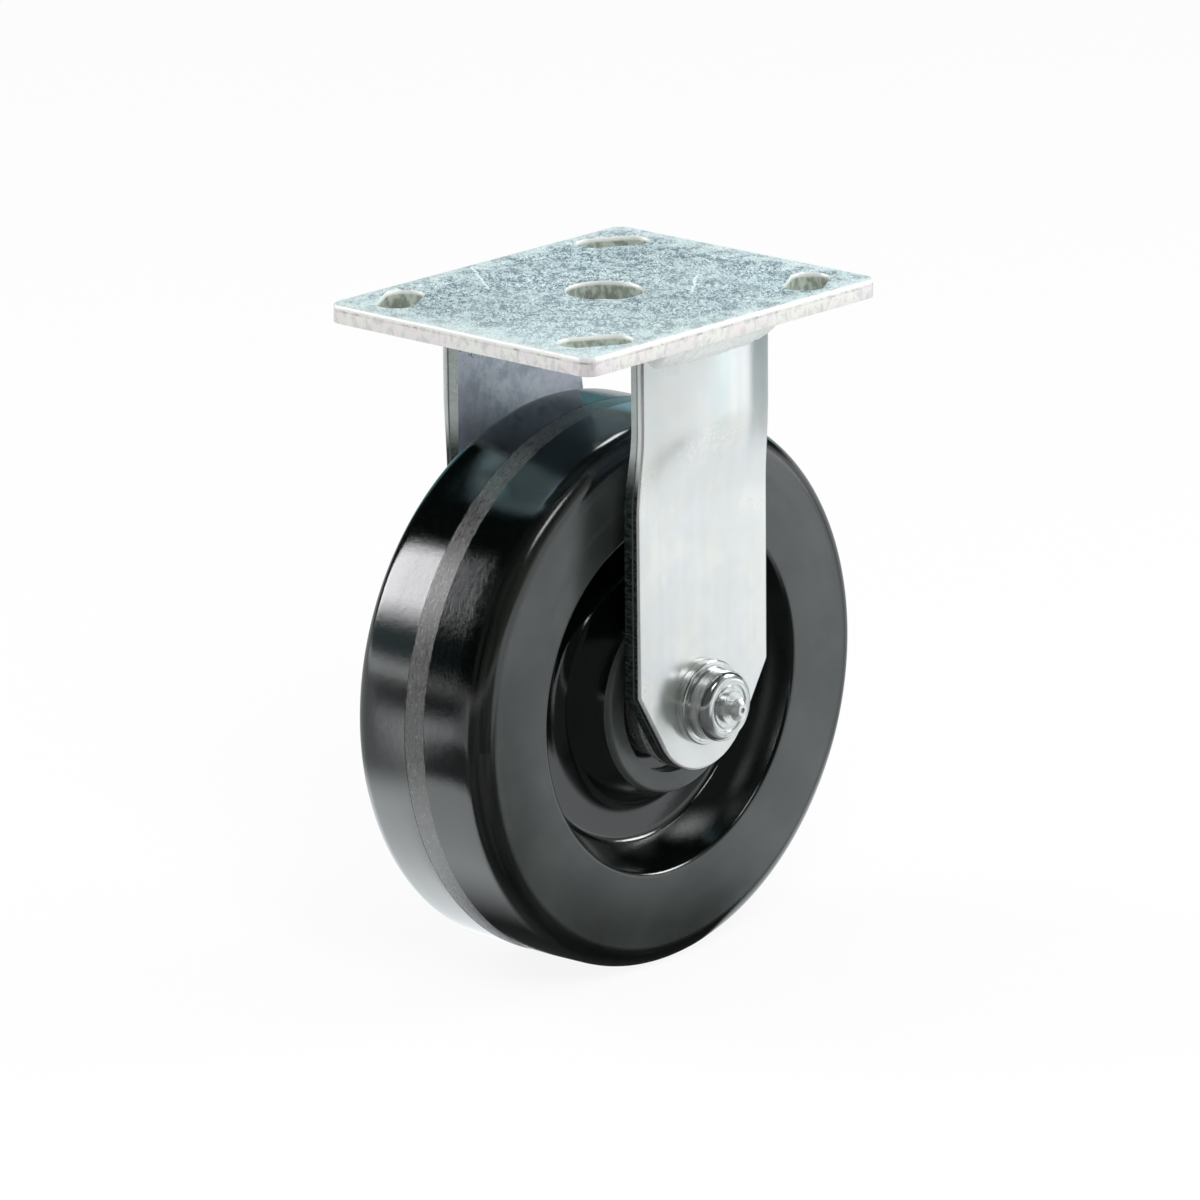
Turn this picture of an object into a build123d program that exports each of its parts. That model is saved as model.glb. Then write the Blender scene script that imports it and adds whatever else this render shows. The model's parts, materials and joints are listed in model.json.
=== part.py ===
from build123d import *
import math
import os

os.makedirs("parts", exist_ok=True)

# Rigid plate castor with a moulded wheel on a roller bearing.
# Millimetres. The origin is the centre of the plate's top face.
# X is the rolling direction, Y lies along the axle and Z points up.
# The greased head of the axle bolt is on the -Y side.

# Wheel size and height
wheel_diameter = 152.4
wheel_radius = wheel_diameter / 2
wheel_width = 46.8
plate_to_wheel = 31.2
axle_drop = wheel_radius + plate_to_wheel
axle_z = -axle_drop

# Top plate
plate_length = 115.6
plate_width = 93.4
plate_thickness = 5.2
plate_corner_radius = 4.0
plate_top_rounding = 0.9
plate_under_bevel = 0.3
centre_hole_radius = 10.3

# Slots for the fixing bolts, one near each corner, turned off the rolling direction
slot_length = 20.0
slot_width = 10.3
slot_inset_x = 15.7
slot_inset_y = 11.8
slot_centre_x = plate_length / 2 - slot_inset_x
slot_centre_y = plate_width / 2 - slot_inset_y
slot_turn = 31.0
slot_bevel = 0.4

# Bearing
sleeve_radius = 9.525
sleeve_bore_clearance = 0.1
roller_radius = 2.78
roller_count = 8
roller_clearance = 0.02
roller_orbit_radius = sleeve_radius + roller_clearance + roller_radius
race_inner_radius = roller_orbit_radius + roller_radius + roller_clearance
race_wall = 2.375
race_outer_radius = race_inner_radius + race_wall
race_end_chamfer = 0.5

# Wheel section, as radius and distance from the middle plane
side_half_width = wheel_width / 2
shoulder_width = 5.8
shoulder_drop = 5.7
shoulder_bulge = 1.1
tread_half_width = side_half_width - shoulder_width
hub_wall = 9.3
hub_rim_radius = race_outer_radius + hub_wall
hub_rim_stand = 1.5
hub_rim_half_width = side_half_width + hub_rim_stand
hub_rim_bevel = 1.2
recess_edge_share = 0.651
recess_edge_radius = wheel_radius * recess_edge_share
recess_edge_rounding = 1.8
recess_span = recess_edge_radius - hub_rim_radius
recess_wall_share = 0.296
recess_floor_radius = recess_edge_radius - recess_span * recess_wall_share
recess_floor_rounding_share = 0.115
recess_floor_rounding = recess_span * recess_floor_rounding_share
hub_foot_share = 0.23
hub_foot_radius = hub_rim_radius + recess_span * hub_foot_share
hub_foot_rounding_share = 0.221
hub_foot_rounding = recess_span * hub_foot_rounding_share
web_thickness = 22.0
recess_floor_half_width = web_thickness / 2
hub_counterbore_width = 3.8
hub_counterbore_radius = race_outer_radius + hub_counterbore_width
hub_counterbore_depth = 2.7
hub_counterbore_half_width = hub_rim_half_width - hub_counterbore_depth

# Legs, set out from the wheel's hub
leg_thickness = 4.8
leg_width = 52.0
hub_to_leg = 4.9
leg_inner_y = hub_rim_half_width + hub_to_leg
leg_outer_y = leg_inner_y + leg_thickness
leg_taper_rise = 6.2
leg_straight_drop = axle_drop - leg_taper_rise
leg_end_radius = 19.0
leg_edge_rounding = 1.1
leg_arch_slope = 16.0
leg_arch_radius = leg_width / 2 / math.radians(leg_arch_slope)
leg_arch_step = 1.1
leg_arch_axis_y = leg_arch_radius * math.cos(math.radians(leg_arch_slope)) - leg_outer_y - leg_arch_step
leg_arch_drop = 28.0
leg_press_length = 24.0
leg_flat_drop = leg_arch_drop + leg_press_length
leg_hole_clearance = 0.15

# Thrust washers on the sleeve, against the legs
thrust_washer_radius = 19.0
thrust_washer_thickness = 2.6
thrust_washer_bore_clearance = 0.1
thrust_washer_chamfer = 0.4
wheel_end_float = 0.3
race_half_length = leg_inner_y - thrust_washer_thickness - wheel_end_float

# Rollers and cage, kept inside the race's ends
roller_end_gap = 1.65
roller_half_length = race_half_length - roller_end_gap
cage_wall = 2.8
cage_inner_radius = roller_orbit_radius - cage_wall / 2
cage_outer_radius = roller_orbit_radius + cage_wall / 2
cage_pocket_clearance = 0.3
cage_side_clearance = 0.5
cage_ring_inner_radius = sleeve_radius + cage_side_clearance
cage_ring_outer_radius = race_inner_radius - cage_side_clearance
cage_ring_thickness = 0.9
cage_end_gap = 0.3

# Weld beads along the outside of the legs
weld_leg = 6.4
weld_bulge = 0.7
weld_end_inset = 2.5
weld_half_turn = (leg_width / 2 - weld_end_inset) / leg_arch_radius
weld_end_rounding = 2.6

# Axle bolt
axle_radius = 6.35
head_flange_radius = 11.6
head_flange_thickness = 2.7
head_flange_bevel = 0.6
head_body_radius = 9.7
head_body_length = 6.5
head_rounding = 1.8
head_groove_radius = 6.6
head_groove_width = 0.8
head_groove_depth = 0.4
axle_overhang = 2.4
axle_end_chamfer = 1.2
grease_drilling_radius = 1.6
nipple_socket_radius = 2.9
nipple_socket_depth = 5.0

# Lock nut with a plastic ring
nut_across_flats = 19.05
nut_height = 11.0
nut_collar_radius = 9.0
nut_collar_height = 3.6
nut_collar_wall = 0.9
nut_lip = 0.7
nut_bore_clearance = 0.03

# Grease nipple
nipple_collar_radius = 4.3
nipple_collar_thickness = 1.1
nipple_neck_radius = 2.1
nipple_neck_length = 1.0
nipple_head_radius = 3.1
nipple_head_length = 1.5
nipple_tip_radius = 1.7
nipple_tip_length = 0.9
nipple_bore_radius = 1.0
nipple_mouth_radius = 0.75

axle_line = Axis((0, 0, axle_z), (0, 1, 0))
head_seat_y = -leg_outer_y
head_face_y = head_seat_y - head_flange_thickness - head_body_length
nut_seat_y = leg_outer_y
nut_end_y = nut_seat_y + nut_height + nut_collar_height
axle_end_y = nut_end_y + axle_overhang


# Top plate
with BuildPart() as top_plate:
    with BuildSketch(Plane.XY.offset(-plate_thickness)):
        RectangleRounded(plate_length, plate_width, plate_corner_radius)
    extrude(amount=plate_thickness)
    rim_edges = top_plate.edges().filter_by(Plane.XY)
    fillet(rim_edges.group_by(Axis.Z)[-1], radius=plate_top_rounding)
    chamfer(top_plate.edges().group_by(Axis.Z)[0], length=plate_under_bevel)
    with BuildSketch(Plane.XY):
        Circle(centre_hole_radius)
    extrude(amount=-plate_thickness, mode=Mode.SUBTRACT)
    for side_x in (-1, 1):
        for side_y in (-1, 1):
            with BuildSketch(Plane.XY):
                with Locations((side_x * slot_centre_x, side_y * slot_centre_y)):
                    SlotOverall(slot_length, slot_width, rotation=-side_x * side_y * slot_turn)
            extrude(amount=-plate_thickness, mode=Mode.SUBTRACT)
    top_edges = top_plate.edges().filter_by(Plane.XY).filter_by_position(Axis.Z, -0.01, 0.01)
    slot_edges = [
        edge
        for edge in top_edges
        if abs(abs(edge.center().X) - slot_centre_x) < slot_length / 2
        and abs(abs(edge.center().Y) - slot_centre_y) < slot_length / 2
        and abs(edge.center().X) < plate_length / 2 - plate_top_rounding - 0.1
        and abs(edge.center().Y) < plate_width / 2 - plate_top_rounding - 0.1
    ]
    chamfer(slot_edges, length=slot_bevel)
top_plate.part.label = "top_plate"
export_step(top_plate.part, "parts/top_plate.step")


# Legs, bars pressed to an arch at the top, flat below it, with a tapered and rounded lower end
with BuildSketch(Plane.XY.offset(-leg_arch_drop)) as arch_section:
    with BuildLine():
        outer_arc = CenterArc((0, leg_arch_axis_y), leg_arch_radius, 270 - leg_arch_slope, 2 * leg_arch_slope)
        inner_arc = CenterArc((0, leg_arch_axis_y), leg_arch_radius - leg_thickness, 270 - leg_arch_slope, 2 * leg_arch_slope)
        Line(outer_arc @ 0, inner_arc @ 0)
        Line(outer_arc @ 1, inner_arc @ 1)
    make_face()
    fillet(arch_section.vertices().sort_by(lambda corner: abs(corner.X))[-2:], radius=leg_edge_rounding)

with BuildSketch(Plane.XY.offset(-leg_flat_drop)) as flat_section:
    with Locations((0, -(leg_inner_y + leg_outer_y) / 2)):
        Rectangle(leg_width, leg_thickness)
    fillet(flat_section.vertices().sort_by(Axis.Y)[:2], radius=leg_edge_rounding)

with BuildPart() as right_leg:
    with BuildSketch(Plane.XZ.offset(leg_inner_y)):
        with BuildLine():
            Line((-leg_width / 2, -leg_flat_drop), (leg_width / 2, -leg_flat_drop))
            Line((-leg_width / 2, -leg_straight_drop), (-leg_width / 2, -leg_flat_drop))
            Line((leg_width / 2, -leg_straight_drop), (leg_width / 2, -leg_flat_drop))
            CenterArc((0, axle_z), leg_end_radius, 180, 180)
        make_hull()
    extrude(amount=leg_thickness)
    outer_edges = right_leg.faces().sort_by(Axis.Y)[0].edges().filter_by_position(Axis.Z, -500, -leg_flat_drop - 0.1)
    fillet(outer_edges, radius=leg_edge_rounding)
    with BuildSketch(Plane.XZ.offset(leg_inner_y)):
        with Locations((0, axle_z)):
            Circle(axle_radius + leg_hole_clearance)
    extrude(amount=leg_thickness, mode=Mode.SUBTRACT)
    loft(sections=[flat_section.sketch, arch_section.sketch])
    extrude(to_extrude=arch_section.sketch, amount=leg_arch_drop - plate_thickness)
right_leg.part.label = "right_leg"
export_step(right_leg.part, "parts/right_leg.step")

with BuildPart() as left_leg:
    add(mirror(right_leg.part, about=Plane.XZ))
left_leg.part.label = "left_leg"
export_step(left_leg.part, "parts/left_leg.step")


# Fillet welds between the plate and the outer face of each leg, turned about the arch's own centre
weld_start = Plane(
    origin=(0, leg_arch_axis_y, 0),
    x_dir=(-math.sin(weld_half_turn), -math.cos(weld_half_turn), 0),
    z_dir=(-math.cos(weld_half_turn), math.sin(weld_half_turn), 0),
)

with BuildPart() as right_weld:
    with BuildSketch(weld_start):
        with BuildLine():
            toe_radius = leg_arch_radius + weld_leg
            toe_z = -plate_thickness - weld_leg
            middle_radius = leg_arch_radius + weld_leg / 2 + weld_bulge
            middle_z = -plate_thickness - weld_leg / 2 - weld_bulge
            Line((leg_arch_radius, -plate_thickness), (toe_radius, -plate_thickness))
            ThreePointArc((toe_radius, -plate_thickness), (middle_radius, middle_z), (leg_arch_radius, toe_z))
            Line((leg_arch_radius, toe_z), (leg_arch_radius, -plate_thickness))
        make_face()
    revolve(axis=Axis((0, leg_arch_axis_y, 0), (0, 0, 1)), revolution_arc=math.degrees(2 * weld_half_turn))
    end_arcs = [
        edge for edge in right_weld.edges().filter_by(GeomType.CIRCLE)
        if edge.radius < leg_arch_radius / 2
    ]
    fillet(end_arcs, radius=weld_end_rounding)
right_weld.part.label = "right_weld"
export_step(right_weld.part, "parts/right_weld.step")

with BuildPart() as left_weld:
    add(mirror(right_weld.part, about=Plane.XZ))
left_weld.part.label = "left_weld"
export_step(left_weld.part, "parts/left_weld.step")


# Axle bolt, turned, with a flanged round head and a drilled grease passage
with BuildPart() as axle_bolt:
    with BuildSketch(Plane.YZ):
        with BuildLine():
            Polyline(
                (axle_end_y, axle_z),
                (head_face_y, axle_z),
                (head_face_y, axle_z + head_body_radius),
                (head_seat_y - head_flange_thickness, axle_z + head_body_radius),
                (head_seat_y - head_flange_thickness, axle_z + head_flange_radius),
                (head_seat_y, axle_z + head_flange_radius),
                (head_seat_y, axle_z + axle_radius),
                (axle_end_y, axle_z + axle_radius),
                close=True,
            )
        make_face()
    revolve(axis=axle_line)
    rings = axle_bolt.edges().filter_by(GeomType.CIRCLE)
    fillet(rings.filter_by_position(Axis.Y, head_face_y - 0.01, head_face_y + 0.01), radius=head_rounding)
    flange_edges = axle_bolt.edges().filter_by(
        lambda edge: edge.geom_type == GeomType.CIRCLE
        and abs(edge.radius - head_flange_radius) < 0.01
        and edge.center().Y < head_seat_y - 0.1
    )
    chamfer(flange_edges, length=head_flange_bevel)
    end_edges = axle_bolt.edges().filter_by(GeomType.CIRCLE)
    chamfer(end_edges.filter_by_position(Axis.Y, axle_end_y - 0.01, axle_end_y + 0.01), length=axle_end_chamfer)
    with BuildSketch(Plane.XZ.offset(-head_face_y)):
        with Locations((0, axle_z)):
            Circle(head_groove_radius)
            Circle(head_groove_radius - head_groove_width, mode=Mode.SUBTRACT)
    extrude(amount=-head_groove_depth, mode=Mode.SUBTRACT)
    with BuildSketch(Plane.XZ.offset(-head_face_y)):
        with Locations((0, axle_z)):
            Circle(nipple_socket_radius)
    extrude(amount=-nipple_socket_depth, mode=Mode.SUBTRACT)
    with BuildSketch(Plane.XZ.offset(-head_face_y)):
        with Locations((0, axle_z)):
            Circle(grease_drilling_radius)
    extrude(amount=head_face_y, mode=Mode.SUBTRACT)
    with BuildSketch(Plane.XY.offset(axle_z)):
        Circle(grease_drilling_radius)
    extrude(amount=-2 * axle_radius, mode=Mode.SUBTRACT)
axle_bolt.part.label = "axle_bolt"
export_step(axle_bolt.part, "parts/axle_bolt.step")


# Grease nipple driven into the head, with its check ball behind the mouth
nipple_neck_y = head_face_y - nipple_collar_thickness
nipple_head_y = nipple_neck_y - nipple_neck_length
nipple_cone_y = nipple_head_y - nipple_head_length
nipple_tip_y = nipple_cone_y - nipple_tip_length

with BuildPart() as grease_nipple:
    with BuildSketch(Plane.YZ):
        with BuildLine():
            Polyline(
                (head_face_y + nipple_socket_depth, axle_z + nipple_bore_radius),
                (nipple_tip_y + nipple_tip_length, axle_z + nipple_bore_radius),
                (nipple_tip_y + nipple_tip_length / 2, axle_z + nipple_mouth_radius),
                (nipple_tip_y, axle_z + nipple_mouth_radius),
                (nipple_tip_y, axle_z + nipple_tip_radius),
                (nipple_cone_y, axle_z + nipple_head_radius),
                (nipple_cone_y + nipple_head_length / 2, axle_z + nipple_head_radius),
                (nipple_head_y, axle_z + nipple_neck_radius),
                (nipple_neck_y, axle_z + nipple_neck_radius),
                (nipple_neck_y, axle_z + nipple_collar_radius),
                (head_face_y, axle_z + nipple_collar_radius),
                (head_face_y, axle_z + nipple_socket_radius),
                (head_face_y + nipple_socket_depth, axle_z + nipple_socket_radius),
                close=True,
            )
        make_face()
    revolve(axis=axle_line)
grease_nipple.part.label = "grease_nipple"
export_step(grease_nipple.part, "parts/grease_nipple.step")

# The ball touches the cone behind the mouth
cone_slope = math.atan2(nipple_bore_radius - nipple_mouth_radius, nipple_tip_length / 2)
ball_radius = nipple_bore_radius * 0.98
ball_contact_radius = ball_radius * math.cos(cone_slope)
ball_contact_y = nipple_tip_y + nipple_tip_length / 2 + (
    (ball_contact_radius - nipple_mouth_radius) / math.tan(cone_slope)
)
ball_y = ball_contact_y + ball_radius * math.sin(cone_slope)

with BuildPart() as nipple_ball:
    with Locations((0, ball_y, axle_z)):
        Sphere(ball_radius)
nipple_ball.part.label = "nipple_ball"
export_step(nipple_ball.part, "parts/nipple_ball.step")


# Lock nut
with BuildPart() as lock_nut:
    with BuildSketch(Plane.XZ.offset(-nut_seat_y)):
        with Locations((0, axle_z)):
            RegularPolygon(nut_across_flats / 2, 6, major_radius=False)
    extrude(amount=-nut_height)
    with BuildSketch(Plane.YZ):
        with BuildLine():
            corner_radius = nut_across_flats / math.sqrt(3)
            flat_radius = nut_across_flats / 2
            slope_drop = (corner_radius - flat_radius) * 0.6
            Polyline(
                (nut_seat_y, axle_z),
                (nut_seat_y, axle_z + flat_radius),
                (nut_seat_y + slope_drop, axle_z + corner_radius),
                (nut_seat_y + nut_height - slope_drop, axle_z + corner_radius),
                (nut_seat_y + nut_height, axle_z + flat_radius),
                (nut_seat_y + nut_height, axle_z),
                close=True,
            )
        make_face()
    revolve(axis=axle_line, mode=Mode.INTERSECT)
    with BuildSketch(Plane.YZ):
        with BuildLine():
            Polyline(
                (nut_seat_y + nut_height, axle_z),
                (nut_seat_y + nut_height, axle_z + nut_collar_radius),
                (nut_end_y - nut_lip, axle_z + nut_collar_radius),
                (nut_end_y, axle_z + nut_collar_radius - nut_lip),
                (nut_end_y, axle_z),
                close=True,
            )
        make_face()
    revolve(axis=axle_line)
    with BuildSketch(Plane.XZ.offset(-nut_seat_y - nut_height)):
        with Locations((0, axle_z)):
            Circle(nut_collar_radius - nut_collar_wall)
    extrude(amount=-nut_collar_height + nut_lip, mode=Mode.SUBTRACT)
    with BuildSketch(Plane.XZ.offset(-nut_end_y)):
        with Locations((0, axle_z)):
            Circle(nut_collar_radius - nut_collar_wall - nut_lip)
    extrude(amount=nut_lip, mode=Mode.SUBTRACT)
    with BuildSketch(Plane.XZ.offset(-nut_seat_y)):
        with Locations((0, axle_z)):
            Circle(axle_radius + nut_bore_clearance)
    extrude(amount=-nut_height, mode=Mode.SUBTRACT)
lock_nut.part.label = "lock_nut"
export_step(lock_nut.part, "parts/lock_nut.step")

# Plastic locking ring held under the nut's rolled lip
with BuildPart() as nut_ring:
    with BuildSketch(Plane.XZ.offset(-nut_seat_y - nut_height)):
        with Locations((0, axle_z)):
            Circle(nut_collar_radius - nut_collar_wall)
            Circle(axle_radius + nut_bore_clearance, mode=Mode.SUBTRACT)
    extrude(amount=-nut_collar_height + nut_lip)
nut_ring.part.label = "nut_ring"
export_step(nut_ring.part, "parts/nut_ring.step")


# Inner sleeve, clamped between the legs, with its grease hole
with BuildPart() as inner_sleeve:
    with BuildSketch(Plane.XZ.offset(leg_inner_y)):
        with Locations((0, axle_z)):
            Circle(sleeve_radius)
            Circle(axle_radius + sleeve_bore_clearance, mode=Mode.SUBTRACT)
    extrude(amount=-2 * leg_inner_y)
    with BuildSketch(Plane.XY.offset(axle_z)):
        Circle(grease_drilling_radius)
    extrude(amount=-2 * sleeve_radius, mode=Mode.SUBTRACT)
inner_sleeve.part.label = "inner_sleeve"
export_step(inner_sleeve.part, "parts/inner_sleeve.step")


# Thrust washers
with BuildPart() as right_thrust_washer:
    with BuildSketch(Plane.XZ.offset(leg_inner_y)):
        with Locations((0, axle_z)):
            Circle(thrust_washer_radius)
            Circle(sleeve_radius + thrust_washer_bore_clearance, mode=Mode.SUBTRACT)
    extrude(amount=-thrust_washer_thickness)
    rim = right_thrust_washer.edges().filter_by(
        lambda edge: edge.geom_type == GeomType.CIRCLE and abs(edge.radius - thrust_washer_radius) < 0.01
    )
    chamfer(rim, length=thrust_washer_chamfer)
right_thrust_washer.part.label = "right_thrust_washer"
export_step(right_thrust_washer.part, "parts/right_thrust_washer.step")

with BuildPart() as left_thrust_washer:
    add(mirror(right_thrust_washer.part, about=Plane.XZ))
left_thrust_washer.part.label = "left_thrust_washer"
export_step(left_thrust_washer.part, "parts/left_thrust_washer.step")


# Rollers and the cage that spaces them
roller_turns = [360 / roller_count * index for index in range(roller_count)]
for index, turn in enumerate(roller_turns):
    roller_x = roller_orbit_radius * math.cos(math.radians(turn))
    roller_z = axle_z + roller_orbit_radius * math.sin(math.radians(turn))
    with BuildPart() as roller:
        with BuildSketch(Plane.XZ.offset(roller_half_length)):
            with Locations((roller_x, roller_z)):
                Circle(roller_radius)
        extrude(amount=-2 * roller_half_length)
    roller.part.label = f"roller_{index + 1}"
    export_step(roller.part, f"parts/roller_{index + 1}.step")

cage_half_length = roller_half_length + cage_end_gap
with BuildPart() as roller_cage:
    with BuildSketch(Plane.XZ.offset(cage_half_length)):
        with Locations((0, axle_z)):
            Circle(cage_outer_radius)
            Circle(cage_inner_radius, mode=Mode.SUBTRACT)
            with PolarLocations(roller_orbit_radius, roller_count):
                Circle(roller_radius + cage_pocket_clearance, mode=Mode.SUBTRACT)
    extrude(amount=-2 * cage_half_length)
    for end_y in (-cage_half_length - cage_ring_thickness, cage_half_length):
        with BuildSketch(Plane.XZ.offset(-end_y)):
            with Locations((0, axle_z)):
                Circle(cage_ring_outer_radius)
                Circle(cage_ring_inner_radius, mode=Mode.SUBTRACT)
        extrude(amount=-cage_ring_thickness)
roller_cage.part.label = "roller_cage"
export_step(roller_cage.part, "parts/roller_cage.step")


# Outer race, pressed into the wheel
with BuildPart() as bearing_race:
    with BuildSketch(Plane.XZ.offset(race_half_length)):
        with Locations((0, axle_z)):
            Circle(race_outer_radius)
            Circle(race_inner_radius, mode=Mode.SUBTRACT)
    extrude(amount=-2 * race_half_length)
    chamfer(bearing_race.edges().filter_by(GeomType.CIRCLE), length=race_end_chamfer)
bearing_race.part.label = "bearing_race"
export_step(bearing_race.part, "parts/bearing_race.step")


# Moulded wheel: tread, side rings, recess, web and hub in one turned section
with BuildPart() as wheel:
    with BuildSketch(Plane.YZ) as wheel_section:
        with BuildLine():
            half_points = [
                (hub_counterbore_half_width, race_outer_radius),
                (hub_counterbore_half_width, hub_counterbore_radius),
                (hub_rim_half_width, hub_counterbore_radius),
                (hub_rim_half_width, hub_rim_radius - hub_rim_bevel),
                (hub_rim_half_width - hub_rim_bevel, hub_rim_radius),
                (recess_floor_half_width, hub_foot_radius),
                (recess_floor_half_width, recess_floor_radius),
                (side_half_width, recess_edge_radius),
                (side_half_width, wheel_radius - shoulder_drop),
            ]
            tread_corner = (tread_half_width, wheel_radius)
            for side in (-1, 1):
                placed = [(side * across, axle_z + radius) for across, radius in half_points]
                Polyline(*placed)
                shoulder_start = placed[-1]
                shoulder_end = (side * tread_corner[0], axle_z + tread_corner[1])
                shoulder_middle = (
                    (shoulder_start[0] + shoulder_end[0]) / 2 + side * shoulder_bulge,
                    (shoulder_start[1] + shoulder_end[1]) / 2 + shoulder_bulge,
                )
                ThreePointArc(shoulder_start, shoulder_middle, shoulder_end)
            Line(
                (-hub_counterbore_half_width, axle_z + race_outer_radius),
                (hub_counterbore_half_width, axle_z + race_outer_radius),
            )
            Line((-tread_half_width, axle_z + wheel_radius), (tread_half_width, axle_z + wheel_radius))
        make_face()
        corner_roundings = [
            (recess_floor_half_width, hub_foot_radius, hub_foot_rounding),
            (recess_floor_half_width, recess_floor_radius, recess_floor_rounding),
            (side_half_width, recess_edge_radius, recess_edge_rounding),
        ]
        for across, radius, rounding in corner_roundings:
            corners = wheel_section.vertices().filter_by(
                lambda vertex: math.dist((abs(vertex.X), vertex.Y), (across, axle_z + radius)) < 0.01
            )
            fillet(corners, radius=rounding)
    revolve(axis=axle_line)
wheel.part.label = "wheel"
export_step(wheel.part, "parts/wheel.step")
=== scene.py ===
# Fixed castor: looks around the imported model.
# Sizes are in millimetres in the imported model's frame, and MM turns them into Blender's metres.
# X is the rolling direction, Y lies along the axle and Z points up.
# The origin is the centre of the plate's top face, and the greased head of the bolt is on the -Y side.
import json
import math

import bmesh
import bpy
from mathutils import Matrix, Quaternion, Vector


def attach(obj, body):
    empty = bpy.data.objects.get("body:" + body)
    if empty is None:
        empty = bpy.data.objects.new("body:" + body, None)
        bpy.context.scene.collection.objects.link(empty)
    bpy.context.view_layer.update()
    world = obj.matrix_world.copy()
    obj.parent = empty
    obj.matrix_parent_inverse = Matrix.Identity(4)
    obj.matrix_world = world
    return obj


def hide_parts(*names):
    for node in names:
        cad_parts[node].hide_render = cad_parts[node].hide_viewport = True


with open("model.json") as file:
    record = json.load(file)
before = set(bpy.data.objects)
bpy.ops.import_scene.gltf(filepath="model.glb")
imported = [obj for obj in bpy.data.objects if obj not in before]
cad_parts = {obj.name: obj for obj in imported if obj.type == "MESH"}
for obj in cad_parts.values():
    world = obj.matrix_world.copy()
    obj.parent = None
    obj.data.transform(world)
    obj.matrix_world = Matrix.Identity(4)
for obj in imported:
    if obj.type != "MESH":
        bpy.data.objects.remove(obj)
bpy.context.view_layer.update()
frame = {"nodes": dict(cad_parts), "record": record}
nodes = frame["nodes"]

MM = 0.001

# Plate, with one slot turned across each corner
PLATE_HALF = (57.8, 46.7)
PLATE_THICKNESS = 5.2
PLATE_CORNER = 4.0
PLATE_ROLL = 0.9
PLATE_UNDER_SOFT = 0.3
HOLE_RADIUS = 10.3
SLOT_PLACE = (42.1, 34.9)
SLOT_HALF = (10.0, 5.15)
SLOT_TURN = math.radians(31.0)
LIP_ROLL = 0.7

# Wheel section, as radius and distance from the middle plane
AXLE_Z = -107.4
WHEEL_RADIUS = 76.2
FLOOR_Z = AXLE_Z - WHEEL_RADIUS
RACE_RADIUS = 17.5
COUNTERBORE_FACE = 22.2
COUNTERBORE_RADIUS = 21.3
HUB_FACE = 24.9
HUB_RADIUS = 26.8
HUB_ROUNDING = 1.2
WEB_FACE = 11.0
HUB_FOOT_RADIUS = 32.0
HUB_FOOT_ROUNDING = 5.0
RECESS_FLOOR_RADIUS = 42.8
RECESS_FLOOR_ROUNDING = 2.6
RING_FACE = 23.4
RECESS_EDGE_RADIUS = 49.6
RECESS_EDGE_ROUNDING = 1.8
SHOULDER_RADIUS = 70.5
SHOULDER_BULGE = 1.5
TREAD_HALF = 17.6
TREAD_DRAFT = 0.34
BAND_HALF = 3.35
BAND_STEP = 0.07

# Legs, flat below ARCH_LOW and fully arched above ARCH_FULL
LEG_HALF = 26.0
LEG_INNER = 29.8
LEG_OUTER = 34.6
ARCH_LOW = -52.0
ARCH_FULL = -28.0
ARCH_SLOPE = math.radians(16.0)
ARCH_RADIUS = LEG_HALF / ARCH_SLOPE
ARCH_STEP = 1.1
ARCH_AXIS = ARCH_RADIUS * math.cos(ARCH_SLOPE) - LEG_OUTER - ARCH_STEP

# Weld beads
WELD_LENGTH = 50.6
WELD_LEG = 6.4
WELD_BULGE = 0.7
WELD_END = 5.5
WELD_RIPPLE = 0.045
WELD_RIPPLE_PITCH = 1.35

# Axle bolt, as radius and place along the axle
AXLE_RADIUS = 6.35
FLANGE_RADIUS = 11.6
FLANGE_FACE = -37.3
FLANGE_ROUNDING = 0.6
FLANGE_FOOT_ROUNDING = 0.15
HEAD_RADIUS = 9.7
HEAD_ROUNDING = 2.6
HEAD_FACE = -43.8
HEAD_FOOT_ROUNDING = 0.25
GROOVE_INNER = 5.8
GROOVE_OUTER = 6.6
GROOVE_DEPTH = 0.4
SOCKET_RADIUS = 2.9
SOCKET_FLOOR = -38.8
DRILLING_RADIUS = 1.6
DRILLING_END = 34.2
BOLT_CHAMFER = 1.2
DIMPLE_RADIUS = 2.0
DIMPLE_DEPTH = 0.6
NEAR_AXIS = 0.01
THREAD_PITCH = 1.27
THREAD_DEPTH = 0.62
THREAD_START = 45.3
THREAD_END = 51.6


# Node helpers

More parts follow.
